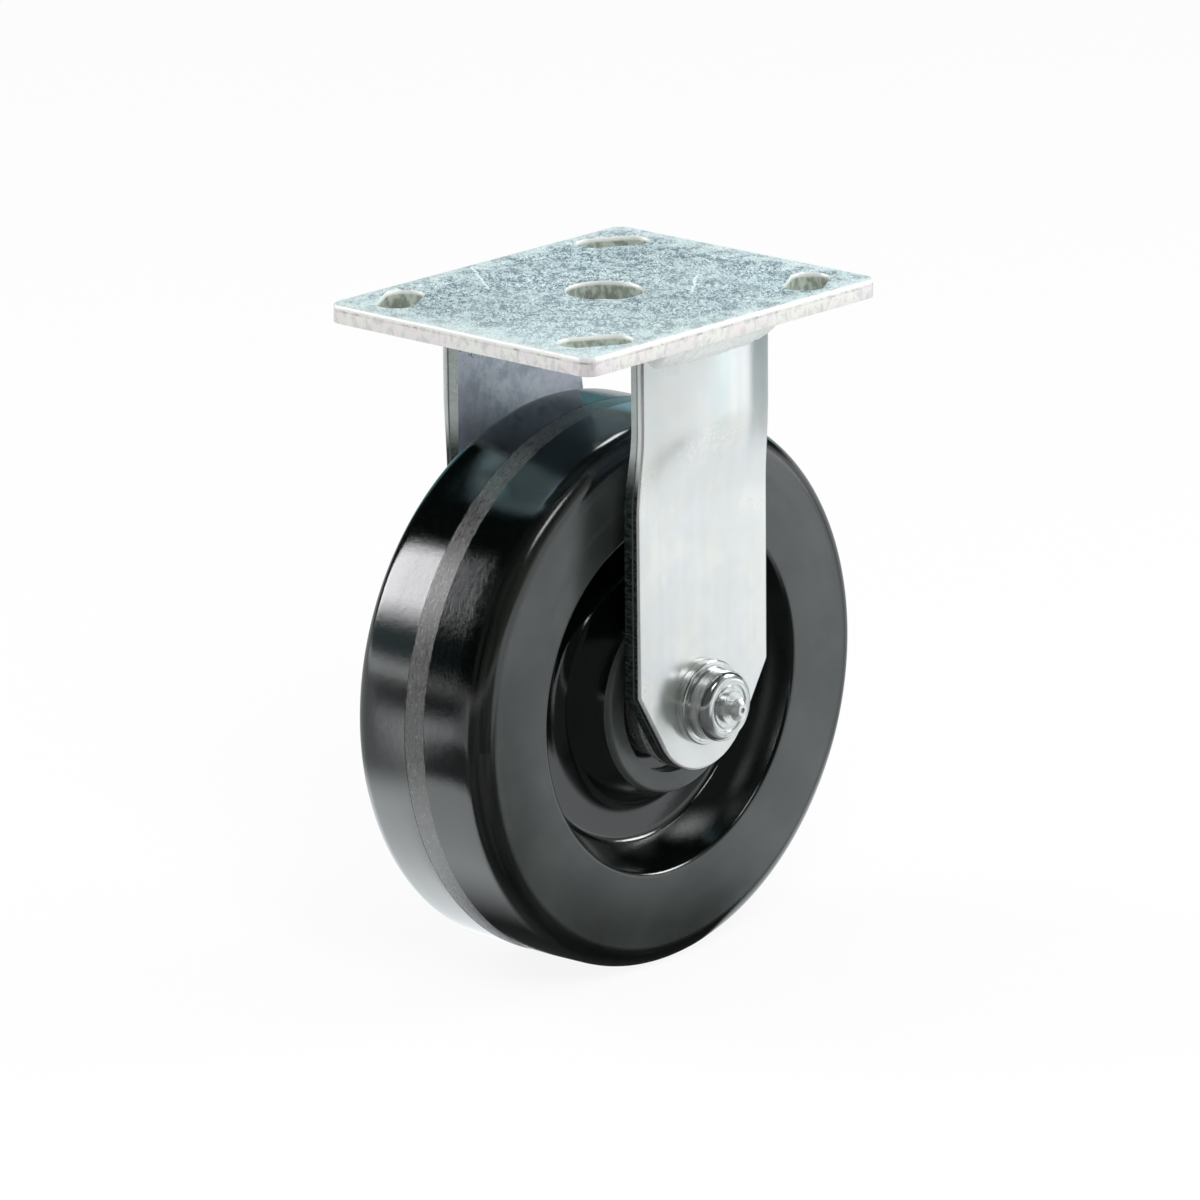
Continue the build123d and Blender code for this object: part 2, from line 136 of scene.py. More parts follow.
class Graph:
    """A node tree with short calls for the sums and textures that the materials share."""

    def __init__(self, tree):
        self.tree = tree
        tree.nodes.clear()

    def add(self, kind, **settings):
        node = self.tree.nodes.new(kind)
        for key, value in settings.items():
            setattr(node, key, value)
        return node

    def put(self, socket, value):
        if isinstance(value, bpy.types.NodeSocket):
            self.tree.links.new(value, socket)
        elif isinstance(value, tuple) and len(value) == 3 and socket.type == "RGBA":
            socket.default_value = (*value, 1.0)
        else:
            socket.default_value = value

    def math(self, operation, a, b=0.0, clamp=False):
        node = self.add("ShaderNodeMath", operation=operation, use_clamp=clamp)
        self.put(node.inputs[0], a)
        self.put(node.inputs[1], b)
        return node.outputs[0]

    def plus(self, total, *others):
        for other in others:
            total = self.math("ADD", total, other)
        return total

    def times(self, total, *others):
        for other in others:
            total = self.math("MULTIPLY", total, other)
        return total

    def minus(self, a, b):
        return self.math("SUBTRACT", a, b)

    def size(self, a):
        """The number without its sign."""
        return self.math("ABSOLUTE", a)

    def either(self, a, b):
        """One where either share is one."""
        return self.math("ADD", a, b, clamp=True)

    def inverse(self, a):
        return self.math("SUBTRACT", 1.0, a, clamp=True)

    def length(self, a, b):
        return self.math("SQRT", self.plus(self.times(a, a), self.times(b, b)))

    def swing(self, share, reach):
        """A share from zero to one, turned into a length that swings about zero."""
        return self.times(self.minus(share, 0.5), reach)

    def step(self, value, low, high, to_low=0.0, to_high=1.0):
        """A smooth rise from to_low at low to to_high at high."""
        node = self.add("ShaderNodeMapRange", interpolation_type="SMOOTHSTEP")
        keys = ("Value", "From Min", "From Max", "To Min", "To Max")
        for key, number in zip(keys, (value, low, high, to_low, to_high)):
            self.put(node.inputs[key], number)
        return node.outputs[0]

    def window(self, value, centre, half, soft):
        """One near centre, and zero beyond half from it."""
        return self.step(self.size(self.minus(value, centre)), half - soft, half + soft, 1.0, 0.0)

    def mix(self, share, a, b):
        """The colour a, and b as far as share says."""
        node = self.add("ShaderNodeMix", data_type="RGBA")
        for index, value in ((0, share), (6, a), (7, b)):
            self.put(node.inputs[index], value)
        return node.outputs[2]

    def blend(self, share, a, b):
        """The same for plain numbers."""
        node = self.add("ShaderNodeMix", data_type="FLOAT")
        for index, value in ((0, share), (2, a), (3, b)):
            self.put(node.inputs[index], value)
        return node.outputs[0]

    def choose(self, share, a, b):
        """The same for shader nodes."""
        node = self.add("ShaderNodeMixShader")
        for index, value in ((0, share), (1, a.outputs[0]), (2, b.outputs[0])):
            self.put(node.inputs[index], value)
        return node

    def separate(self, vector):
        node = self.add("ShaderNodeSeparateXYZ")
        self.put(node.inputs[0], vector)
        return node.outputs[0], node.outputs[1], node.outputs[2]

    def combine(self, x, y, z):
        node = self.add("ShaderNodeCombineXYZ")
        for socket, value in zip(node.inputs, (x, y, z)):
            self.put(socket, value)
        return node.outputs[0]

    def stretch(self, vector, scale):
        node = self.add("ShaderNodeMapping")
        self.put(node.inputs["Vector"], vector)
        node.inputs["Scale"].default_value = scale
        return node.outputs[0]

    def millimetres(self):
        """The place on the object."""
        return self.stretch(self.add("ShaderNodeTexCoord").outputs["Object"], (1 / MM, 1 / MM, 1 / MM))

    def noise(self, vector, scale, detail=3.0, rough=0.55, distortion=0.0):
        node = self.add("ShaderNodeTexNoise")
        self.put(node.inputs["Vector"], vector)
        node.inputs["Scale"].default_value = scale
        node.inputs["Detail"].default_value = detail
        node.inputs["Roughness"].default_value = rough
        node.inputs["Distortion"].default_value = distortion
        return node.outputs["Fac"]

    def spots(self, vector, scale):
        """A random grey for each cell."""
        node = self.add("ShaderNodeTexVoronoi")
        self.put(node.inputs["Vector"], vector)
        node.inputs["Scale"].default_value = scale
        return self.separate(node.outputs["Color"])[0]

    def bump(self, height, strength, distance):
        node = self.add("ShaderNodeBump")
        self.put(node.inputs["Height"], height)
        node.inputs["Strength"].default_value = strength
        node.inputs["Distance"].default_value = distance
        return node.outputs[0]


class Finish(Graph):
    """A material with a Principled shader and the places that its textures are keyed on, in millimetres."""

    def __init__(self, name):
        self.material = bpy.data.materials.new(name)
        self.material.use_nodes = True
        super().__init__(self.material.node_tree)
        self.shader = self.add("ShaderNodeBsdfPrincipled")
        out = self.add("ShaderNodeOutputMaterial")
        self.put(out.inputs[0], self.shader.outputs[0])
        self.place = self.millimetres()
        self.x, self.y, self.z = self.separate(self.place)
        self.up = self.minus(self.z, AXLE_Z)
        self.radius = self.length(self.x, self.up)
        self.turn = self.math("ARCTAN2", self.up, self.x)
        self.side = self.size(self.y)
        self.facing = self.separate(self.add("ShaderNodeNewGeometry").outputs["Normal"])

    def set(self, **values):
        for key, value in values.items():
            self.put(self.shader.inputs[key.replace("_", " ")], value)

    def around(self, radial, along):
        """A vector that runs round the axle, for turned and ground marks."""
        across = self.times(self.radius, radial)
        return self.combine(self.times(self.turn, along), across, self.times(self.y, radial))


# Materials

SCRATCHES = (((-4.0, 44.5), (-19.5, 24.0)), ((28.6, -7.6), (11.8, -20.4)))
# middle along X, half width, softness, share and colour of each painted reflection band across the leg's
# arch
ARCH_REFLECTION_BANDS = (
    (-19.0, 8.0, 6.0, 0.25, (0.56, 0.58, 0.57)),
    (2.6, 3.6, 2.6, 0.55, (0.58, 0.68, 0.67)),
    (13.4, 2.3, 1.8, 0.65, (0.96, 0.97, 0.96)),
    (20.2, 4.6, 2.0, 0.62, (0.30, 0.38, 0.385)),
)
# dark, light, roughness, scale of the rings and metallic share of each turned piece
TURNED_STEELS = {
    "bolt_zinc": ((0.60, 0.62, 0.61), (0.88, 0.89, 0.88), 0.13, 2.6, 0.96),
    "nipple_steel": ((0.80, 0.82, 0.82), (0.96, 0.96, 0.95), 0.27, 3.5, 0.90),
    "ball_steel": ((0.30, 0.30, 0.31), (0.45, 0.45, 0.46), 0.14, 2.6, 0.85),
    "nut_zinc": ((0.46, 0.49, 0.50), (0.78, 0.80, 0.80), 0.26, 1.2, 0.85),
    "sleeve_steel": ((0.30, 0.31, 0.33), (0.52, 0.53, 0.55), 0.28, 2.6, 0.85),
    "washer_steel": ((0.48, 0.50, 0.50), (0.80, 0.81, 0.80), 0.26, 2.6, 0.85),
    "cage_steel": ((0.26, 0.27, 0.28), (0.46, 0.47, 0.48), 0.34, 2.6, 0.85),
    "roller_steel": ((0.44, 0.45, 0.46), (0.68, 0.69, 0.70), 0.14, 2.6, 0.85),
    "race_steel": ((0.28, 0.29, 0.31), (0.50, 0.51, 0.53), 0.30, 2.6, 0.85),
}


def scratch(look, start, end):
    """The share of a slightly wandering scratch from start to end on the plate's top face."""
    along = Vector(end) - Vector(start)
    length = along.length
    run_x, run_y = along / length
    wander = look.swing(look.noise(look.place, 0.16, 2.0), 2.2)
    from_x = look.minus(look.x, start[0])
    from_y = look.minus(look.y, start[1])
    off = look.plus(look.times(from_x, -run_y), look.times(from_y, run_x), wander)
    reach = look.plus(look.times(from_x, run_x), look.times(from_y, run_y))
    return look.times(look.window(off, 0.0, 0.40, 0.3), look.window(reach, length / 2, length / 2, 1.5))


def plate_edge(look, pits):
    """The sheared edge, and the walls of the slots and the hole."""
    # cream with faint pink and grey blotches
    blush = look.noise(look.place, 0.10, 2.0, 0.5)
    warm = look.mix(look.step(blush, 0.42, 0.6), (0.88, 0.88, 0.83), (0.88, 0.83, 0.83))
    edge = look.mix(look.step(pits, 0.36, 0.54), (0.72, 0.70, 0.69), warm)
    # a broken brown shear line under the top, which carries a painted highlight
    broken = look.noise(look.stretch(look.place, (1.0, 1.0, 0.2)), 0.30, 3.0, 0.6)
    wavy = look.plus(look.z, look.swing(broken, 0.7))
    shear = look.times(look.window(wavy, -1.7, 0.20, 0.2), look.step(broken, 0.36, 0.52, 0.70, 0.15))
    edge = look.mix(shear, edge, (0.26, 0.19, 0.18))
    # painted highlight along the rolled top of the edge
    edge = look.mix(look.step(look.z, -1.35, -0.9), edge, (0.93, 0.94, 0.92))
    # grey-green walls, with a painted white highlight on their rolled lips
    outside_x, outside_y = (
        look.step(look.size(place), half - 1.5, half - 0.9)
        for place, half in zip((look.x, look.y), PLATE_HALF))
    inside = look.inverse(look.either(outside_x, outside_y))
    wall = look.mix(look.step(pits, 0.40, 0.58), (0.32, 0.36, 0.30), (0.58, 0.65, 0.57))
    wall = look.mix(look.step(look.z, -1.5, -0.7), wall, (0.95, 0.97, 0.94))
    return look.mix(inside, edge, wall)


def plate_finish():
    """Mottled plating on top, drawn out a little along the diagonal in which the sheet was rolled."""
    look = Finish("plate_zinc")
    rolled = look.plus(look.times(look.x, 0.74), look.times(look.y, 0.67))
    cross = look.plus(look.times(look.x, -0.67), look.times(look.y, 0.74))
    sheet = look.combine(look.times(rolled, 0.5), cross, look.z)
    fine = look.noise(sheet, 1.35, 2.0, 0.55, 0.3)
    grain = look.noise(sheet, 0.62, 2.0, 0.60, 1.2)
    worm = look.size(look.minus(look.noise(sheet, 0.52, 1.0, 0.5, 1.6), 0.5))
    pool = look.noise(look.place, 0.17, 3.0, 0.6, 0.4)
    cloud = look.noise(look.place, 0.045, 3.0, 0.55)
    pits = look.noise(look.stretch(look.place, (1.0, 1.0, 0.7)), 0.45, 3.0, 0.60, 0.4)
    top = look.step(look.facing[2], 0.80, 0.97)
    under = look.step(look.facing[2], -0.80, -0.97)
    flat = look.either(top, under)
    # dark blue-grey pits, a mid grey field and pale worm-shaped flecks
    tone = look.plus(look.times(grain, 0.50), look.times(fine, 0.30), look.times(pool, 0.20))
    colour = look.mix(look.step(tone, 0.458, 0.532), (0.150, 0.180, 0.205), (0.55, 0.59, 0.60))
    fleck = look.times(look.step(worm, 0.042, 0.014), look.step(pool, 0.36, 0.54, 0.20, 0.95))
    colour = look.mix(fleck, colour, (0.97, 0.98, 0.96))
    colour = look.mix(look.step(tone, 0.575, 0.63, 0.0, 0.85), colour, (0.94, 0.96, 0.93))
    colour = look.mix(look.step(cloud, 0.46, 0.66, 0.0, 0.30), colour, (0.66, 0.70, 0.69))
    # paler towards one corner, and where the rim is worn
    corner = look.step(look.plus(look.x, look.y), 0.0, -85.0, 0.0, 0.30)
    colour = look.mix(corner, colour, (0.84, 0.87, 0.85))
    out_x, out_y = (
        look.times(look.size(place), 1 / half) for place, half in zip((look.x, look.y), PLATE_HALF))
    worn = look.plus(look.math("MAXIMUM", out_x, out_y), look.swing(pool, 0.5))
    colour = look.mix(look.step(worn, 0.80, 1.0, 0.0, 0.60), colour, (0.88, 0.90, 0.87))
    for start, end in SCRATCHES:
        line = look.times(scratch(look, start, end), top, look.step(fine, 0.35, 0.55, 0.50, 1.0))
        colour = look.mix(line, colour, (0.97, 0.98, 0.96))
    # the underside was plated smoother and bluer
    smooth_zinc = look.mix(look.step(grain, 0.40, 0.60), (0.42, 0.62, 0.68), (0.60, 0.78, 0.82))
    colour = look.mix(flat, plate_edge(look, pits), look.mix(under, colour, smooth_zinc))
    edge_rough = look.step(pits, 0.3, 0.7, 0.40, 0.55)
    rough = look.blend(flat, edge_rough, look.step(tone, 0.40, 0.62, 0.46, 0.30))
    mottle = look.plus(look.times(tone, 1.6), look.times(worm, -0.8))
    height = look.blend(flat, look.times(pits, 0.8), mottle)
    look.set(
        Base_Color=colour,
        Metallic=look.blend(under, look.blend(top, 0.50, 0.34), 0.88),
        Roughness=look.blend(under, rough, 0.24),
        Normal=look.bump(look.times(height, look.blend(under, 1.0, 0.15)), 0.60, 0.00040))
    return look.material


def leg_outer_face(look, cloud):
    """Pale satin zinc, with painted reflection bands on the arch and a painted shade and reflection of the
    bolt's head beside its flange.
    """
    drawn = look.noise(look.stretch(look.place, (1.0, 1.0, 0.05)), 0.30, 3.0, 0.5)
    film = look.noise(look.place, 0.09, 2.0, 0.5)
    fine = look.noise(look.place, 1.0, 3.0, 0.65)
    # faint bluish and straw clouds of the passivated zinc
    colour = look.mix(look.step(cloud, 0.40, 0.64), (0.80, 0.81, 0.80), (0.88, 0.88, 0.85))
    colour = look.mix(look.step(film, 0.50, 0.70, 0.0, 0.45), colour, (0.80, 0.83, 0.87))
    colour = look.mix(look.step(film, 0.46, 0.30, 0.0, 0.40), colour, (0.87, 0.87, 0.80))
    colour = look.mix(look.step(drawn, 0.42, 0.64, 0.0, 0.12), colour, (0.68, 0.71, 0.72))
    colour = look.mix(look.step(fine, 0.58, 0.72, 0.0, 0.18), colour, (0.68, 0.69, 0.69))
    # painted reflection bands across the arch, fading down the leg
    reflection_fade = look.step(look.z, -47.0, -20.0)
    for middle, half, soft, share, tint in ARCH_REFLECTION_BANDS:
        band = look.times(look.window(look.x, middle, half, soft), look.times(reflection_fade, share))
        colour = look.mix(band, colour, tint)
    # brighter, in a textured patch where the arch starts
    bright_patch = look.times(look.window(look.z, -35.0, 5.0, 4.0), look.window(look.x, 0.0, 13.0, 7.0))
    bright_patch = look.times(bright_patch, look.step(fine, 0.48, 0.62, 0.0, 0.5))
    colour = look.mix(bright_patch, colour, (0.97, 0.96, 0.93))
    # painted dark greenish shade and reflection of the bolt's head, on the leg left of the flange
    ragged = look.plus(look.radius, look.swing(film, 8.0))
    head_shade_and_reflection = look.times(look.step(ragged, 21.0, 16.0, 0.0, 0.52), look.step(look.x, -3.0, -12.0))
    head_shade_and_reflection = look.times(head_shade_and_reflection, look.window(look.z, AXLE_Z + 2.0, 6.0, 7.0))
    return look.mix(head_shade_and_reflection, colour, (0.10, 0.17, 0.135))


def leg_inner_face(look, mark):
    """Duller and bluer, with a few dark marks, and painted nearly black low down beside the wheel, where it
    lies in shade.
    """
    tint = look.noise(look.place, 0.07, 2.0, 0.5)
    dull = look.mix(look.step(mark, 0.38, 0.62), (0.48, 0.54, 0.62), (0.70, 0.76, 0.83))
    dull = look.mix(look.step(tint, 0.42, 0.62, 0.0, 0.5), dull, (0.66, 0.66, 0.78))
    stain = look.times(look.window(look.z, -18.0, 4.0, 3.0), look.step(mark, 0.56, 0.62, 0.0, 0.9))
    dull = look.mix(stain, dull, (0.06, 0.07, 0.08))
    # painted shade: nearly black towards the bottom, beside the wheel
    return look.mix(look.step(look.z, -48.0, -74.0, 0.0, 0.95), dull, (0.030, 0.034, 0.033))


def leg_sheared_edge(look):
    """A bright burnished strip outside and a dull fracture inside, lit on the upper leg and painted dark
    with shade on the lower leg.
    """
    shear = look.noise(look.stretch(look.place, (1.0, 0.3, 1.0)), 1.3, 4.0, 0.65)
    depth = look.minus(look.side, look.step(look.z, ARCH_LOW, ARCH_FULL, LEG_INNER, LEG_INNER + 1.2))
    # painted light and shade: the edge is lit near the plate and shaded nearly black lower down; upper and
    # lower are its lit and shaded colours
    high = look.step(look.z, -46.0, -32.0)
    lower = look.mix(look.step(shear, 0.35, 0.65), (0.004, 0.008, 0.006), (0.040, 0.055, 0.046))
    upper = look.mix(shear, (0.36, 0.40, 0.38), (0.60, 0.64, 0.61))
    fracture = look.mix(high, lower, upper)
    burnish = look.mix(high, fracture, (0.70, 0.72, 0.71))
    edge = look.mix(look.step(depth, 2.9, 3.2), fracture, burnish)
    return look.mix(look.window(depth, 2.9, 0.22, 0.2), edge, (0.10, 0.11, 0.11))


def leg_finish():
    look = Finish("leg_zinc")
    cloud = look.noise(look.place, 0.05, 3.0, 0.55, 0.3)
    hair = look.noise(look.stretch(look.place, (1.0, 1.0, 0.08)), 2.8, 2.0, 0.6)
    mark = look.noise(look.place, 0.22, 4.0, 0.7)
    inner = look.step(look.times(look.facing[1], look.math("SIGN", look.y)), -0.3, -0.6)
    edge = look.step(look.size(look.facing[1]), 0.62, 0.45)
    colour = look.mix(inner, leg_outer_face(look, cloud), leg_inner_face(look, mark))
    look.set(
        Base_Color=look.mix(edge, colour, leg_sheared_edge(look)),
        Metallic=look.blend(look.either(edge, inner), 0.80, 0.45),
        Roughness=look.blend(inner, look.step(cloud, 0.3, 0.7, 0.20, 0.28), 0.36),
        Normal=look.bump(look.plus(look.times(hair, 0.20), look.times(mark, inner, 0.5)), 0.12, 0.00012))
    return look.material


def weld_finish():
    look = Finish("weld_metal")
    grain = look.noise(look.place, 0.9, 4.0, 0.65)
    look.set(
        Base_Color=look.mix(look.step(grain, 0.38, 0.62), (0.78, 0.83, 0.80), (0.92, 0.94, 0.91)),
        Metallic=0.30,
        Roughness=look.step(grain, 0.3, 0.7, 0.34, 0.46),
        Normal=look.bump(grain, 0.12, 0.00014))
    return look.material


def turned_finish(name, dark, light, rough, pitch, metal):
    """Turned and plated steel with fine rings round the axle."""
    look = Finish(name)
    rings = look.noise(look.around(1.0, 0.4), pitch, 3.0, 0.6)
    cloud = look.noise(look.place, 0.5, 3.0, 0.6)
    colour = look.mix(look.step(rings, 0.32, 0.68), dark, light)
    dimmed = tuple(0.55 * channel for channel in dark)
    look.set(
        Base_Color=look.mix(look.step(cloud, 0.5, 0.72, 0.0, 0.35), colour, dimmed),
        Metallic=metal,
        Roughness=look.step(cloud, 0.3, 0.7, rough * 0.8, rough * 1.4),
        Normal=look.bump(rings, 0.25, 0.00010))
    return look.material


def nylon_finish():
    look = Finish("ring_plastic")
    cloud = look.noise(look.place, 0.9, 3.0, 0.5)
    look.set(
        Base_Color=look.mix(cloud, (0.70, 0.71, 0.68), (0.80, 0.81, 0.78)),
        Roughness=look.step(cloud, 0.3, 0.7, 0.42, 0.55),
        Subsurface_Weight=0.15,
        Subsurface_Scale=0.002,
        Normal=look.bump(cloud, 0.2, 0.0001))
    return look.material


def ground_band(look, ground):
    """The finely scored dark grey of the ground parting band, with pale and dark pits."""
    pit = look.spots(look.place, 1.6)
    colour = look.mix(look.step(ground, 0.36, 0.66), (0.028, 0.028, 0.026), (0.072, 0.070, 0.066))
    colour = look.mix(look.times(look.step(pit, 0.86, 0.96), 0.35), colour, (0.20, 0.19, 0.18))
    return look.mix(look.times(look.step(pit, 0.12, 0.04), 0.55), colour, (0.015, 0.014, 0.013))


def phenolic_finish():
    """Moulded phenolic: glossy black tread and recess, ground parting band, satin side rings and hub."""
    look = Finish("phenolic")
    peel = look.noise(look.place, 0.55, 3.0, 0.55)
    dimple = look.noise(look.place, 3.4, 2.0, 0.6)
    speckle = look.noise(look.place, 1.7, 3.0, 0.7)
    cloud = look.noise(look.place, 0.045, 4.0, 0.55)
    smear = look.noise(look.around(1.0, 3.0), 0.35, 4.0, 0.6)
    scores = look.combine(
        look.times(look.turn, 30.0), look.times(look.y, 1.6), look.times(look.radius, 0.2))
    ground = look.noise(scores, 1.0, 4.0, 0.7)
    # the band has a ragged border, and lies on the tread only
    across = look.plus(look.side, look.swing(look.noise(look.place, 0.35, 4.0, 0.65), 1.3))
    tread = look.step(look.radius, WHEEL_RADIUS - 1.0, WHEEL_RADIUS - 0.6)
    band = look.times(look.step(across, BAND_HALF + 0.3, BAND_HALF - 0.3), tread)
    # satin side rings and hub rim
    beside = look.step(look.side, RING_FACE - 0.25, RING_FACE - 0.05)
    ring = look.times(beside, look.step(look.radius, SHOULDER_RADIUS + 0.4, SHOULDER_RADIUS - 1.2))
    satin = look.mix(look.step(cloud, 0.35, 0.68), (0.020, 0.024, 0.0225), (0.034, 0.040, 0.0375))
    satin = look.mix(look.step(smear, 0.55, 0.80, 0.0, 0.4), satin, (0.048, 0.056, 0.054))
    # the glossy skin, with fine dull pits in it, more of them near the shoulder
    outward = look.step(look.side, TREAD_HALF, TREAD_HALF + 1.4)
    shoulder = look.times(look.step(look.radius, SHOULDER_RADIUS - 0.5, SHOULDER_RADIUS + 0.5), outward)
    dust = look.times(look.step(speckle, 0.60, 0.74), 0.6)
    gloss = look.mix(dust, (0.0010, 0.0016, 0.0015), (0.016, 0.020, 0.019))
    dulled = look.times(shoulder, look.step(smear, 0.40, 0.70))
    gloss = look.mix(dulled, gloss, (0.012, 0.013, 0.011))
    colour = look.mix(band, look.mix(ring, gloss, satin), ground_band(look, ground))
    satin_rough = look.step(smear, 0.35, 0.75, 0.28, 0.38)
    rough = look.blend(ring, look.step(speckle, 0.52, 0.78, 0.05, 0.24), satin_rough)
    rough = look.blend(shoulder, rough, look.step(speckle, 0.5, 0.8, 0.10, 0.24))
    rough = look.blend(band, rough, look.step(ground, 0.35, 0.65, 0.26, 0.40))
    height = look.plus(look.times(peel, look.blend(ring, 0.5, 0.22)), look.times(band, ground, 0.9))
    height = look.plus(height, look.times(dimple, look.blend(ring, 0.42, 0.16)))
    look.set(
        Base_Color=colour,
        Roughness=rough,
        IOR=1.60,
        Specular_IOR_Level=0.75,
        Normal=look.bump(height, 0.30, 0.00012))
    return look.material


finishes = {
    "plate_zinc": plate_finish(),
    "leg_zinc": leg_finish(),
    "weld_metal": weld_finish(),
    "ring_plastic": nylon_finish(),
    "phenolic": phenolic_finish(),
}
for slot, values in TURNED_STEELS.items():
    finishes[slot] = turned_finish(slot, *values)

slot_of = {row["node"]: row["material_slot"] for row in frame["record"]["subparts"]}
for name, piece in nodes.items():
    piece.data.materials.clear()
    piece.data.materials.append(finishes[slot_of[name]])


# Mesh helpers

SHARP_ANGLE = math.radians(32.0)


def rounded(points, steps):
    """A line through (along, out, rounding) points, its corners rounded."""
    line = []
    for index, (along, out, rounding) in enumerate(points):
        corner = Vector((along, out))
        if not rounding:
            line.append(corner)
            continue
        before = (Vector(points[index - 1][:2]) - corner).normalized()
        after = (Vector(points[index + 1][:2]) - corner).normalized()
        half = before.angle(after) / 2
        centre = corner + (before + after).normalized() * (rounding / math.sin(half))
        reach = rounding / math.tan(half)
        start = corner + before * reach - centre
        end = corner + after * reach - centre
        sweep = start.angle_signed(end)
        for step in range(steps + 1):
            turn = -sweep * step / steps
            line.append(centre + Vector((
                start.x * math.cos(turn) - start.y * math.sin(turn),
                start.x * math.sin(turn) + start.y * math.cos(turn))))
    return line


def bulged(start, end, bulge, steps=10):
    """A convex arc from start to end that stands bulge off its chord."""
    a, b = Vector(start), Vector(end)
    chord = b - a
    out = Vector((abs(chord.y), abs(chord.x))).normalized()
    out.x = math.copysign(out.x, a.x)
    radius = (chord.length ** 2 / 4 + bulge ** 2) / (2 * bulge)
    centre = (a + b) / 2 - out * (radius - bulge)
    half = math.asin(chord.length / 2 / radius)
    line = []
    for step in range(steps + 1):
        turn = half * (2 * step / steps - 1)
        line.append(centre + out * radius * math.cos(turn) + chord.normalized() * radius * math.sin(turn))
    return line


def smooth(mesh_data):
    """Smooth shading with the sharp edges kept sharp."""
    bm = bmesh.new()
    bm.from_mesh(mesh_data)
    bmesh.ops.remove_doubles(bm, verts=bm.verts, dist=1e-7)
    bmesh.ops.recalc_face_normals(bm, faces=bm.faces)
    for face in bm.faces:
        face.smooth = True
    for edge in bm.edges:
        if len(edge.link_faces) == 2 and edge.calc_face_angle(0.0) > SHARP_ANGLE:
            edge.smooth = False
    bm.to_mesh(mesh_data)
    bm.free()


def dress(name, mesh_data, body, slot, node):
    """Put a finished mesh in the place of a node."""
    smooth(mesh_data)
    made = bpy.data.objects.new(name, mesh_data)
    bpy.context.scene.collection.objects.link(made)
    made.data.materials.append(finishes[slot])
    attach(made, body)
    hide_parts(node)


def piece_from(name, vertices, faces, body, slot, node):
    mesh_data = bpy.data.meshes.new(name)
    mesh_data.from_pydata([tuple(c * MM for c in vertex) for vertex in vertices], [], faces)
    dress(name, mesh_data, body, slot, node)


def turned(name, line, segments, body, slot, node, cut=None):
    """A closed line of (along, out) turned about the axle, less the depth that cut gives at each place."""
    vertices, faces = [], []
    count = len(line)
    for step in range(segments):
        turn = 2 * math.pi * step / segments
        for along, out in line:
            radius = out - (cut(along, out, step / segments) if cut else 0.0)
            vertices.append((radius * math.cos(turn), along, AXLE_Z + radius * math.sin(turn)))
    for step in range(segments):
        here, after = step * count, (step + 1) % segments * count
        for index in range(count):
            other = (index + 1) % count
            faces.append((here + index, here + other, after + other, after + index))
    piece_from(name, vertices, faces, body, slot, node)


# Top plate

def outline(centre, reach, radius, turn, grow, steps=20):
    """A rectangle of half sizes reach with rounded corners, larger by grow, turned about its centre."""
    half_x, half_y = reach[0] - radius, reach[1] - radius
    same = 1e-4
    points = []
    for quarter, (side_x, side_y) in enumerate(((1, 1), (-1, 1), (-1, -1), (1, -1))):
        for step in range(steps + 1):
            angle = math.pi / 2 * (quarter + step / steps)
            point = Vector((
                side_x * half_x + (radius + grow) * math.cos(angle),
                side_y * half_y + (radius + grow) * math.sin(angle)))
            point.rotate(Matrix.Rotation(turn, 2))
            point += Vector(centre)
            if not points or (point - points[-1]).length > same:
                points.append(point)
    if (points[0] - points[-1]).length < same:
        points.pop()
    return points


def plate_rims():
    """Centre, half sizes, corner radius, turn, side of the metal and rolling of each rim of the plate."""
    rims = [
        ((0, 0), PLATE_HALF, PLATE_CORNER, 0.0, -1, PLATE_ROLL),
        ((0, 0), (HOLE_RADIUS, HOLE_RADIUS), HOLE_RADIUS, 0.0, 1, LIP_ROLL)]
    for side_x in (-1, 1):
        for side_y in (-1, 1):
            centre = (side_x * SLOT_PLACE[0], side_y * SLOT_PLACE[1])
            rims.append((centre, SLOT_HALF, SLOT_HALF[1], -side_x * side_y * SLOT_TURN, 1, LIP_ROLL))
    return rims


def rim_levels(roll, steps=6):
    """How far into the metal and how high each ring of a rim lies, from its rolled top to its bottom."""
    levels = []
    for step in range(steps + 1):
        angle = math.pi / 2 * step / steps
        levels.append((roll * (1 - math.sin(angle)), -roll * (1 - math.cos(angle))))
    for inset, rise in ((0.0, 1.0), (0.3, 0.3), (1.0, 0.0)):
        levels.append((inset * PLATE_UNDER_SOFT, rise * PLATE_UNDER_SOFT - PLATE_THICKNESS))
    return levels


def sheared_plate():
    """The plate with its rolled top edge, and the rolled lips that the punch left round its openings."""
    bm = bmesh.new()
    top_edges, bottom_edges = [], []
    for centre, reach, radius, turn, side, roll in plate_rims():
        rings = []
        for inset, z in rim_levels(roll):
            points = outline(centre, reach, radius, turn, side * inset)
            rings.append([bm.verts.new((point.x * MM, point.y * MM, z * MM)) for point in points])
        for upper, lower in zip(rings, rings[1:]):
            for index in range(len(upper)):
                after = (index + 1) % len(upper)
                bm.faces.new((upper[index], upper[after], lower[after], lower[index]))
        for ring, edges in ((rings[0], top_edges), (rings[-1], bottom_edges)):
            for index in range(len(ring)):
                edges.append(bm.edges.get((ring[index], ring[(index + 1) % len(ring)])))
    for edges in (top_edges, bottom_edges):
        bmesh.ops.triangle_fill(bm, edges=edges, use_beauty=True)
    mesh_data = bpy.data.meshes.new("plate_sheared")
    bm.to_mesh(mesh_data)
    bm.free()
    dress("plate_sheared", mesh_data, "fork", "plate_zinc", "top_plate")


sheared_plate()


# Wheel

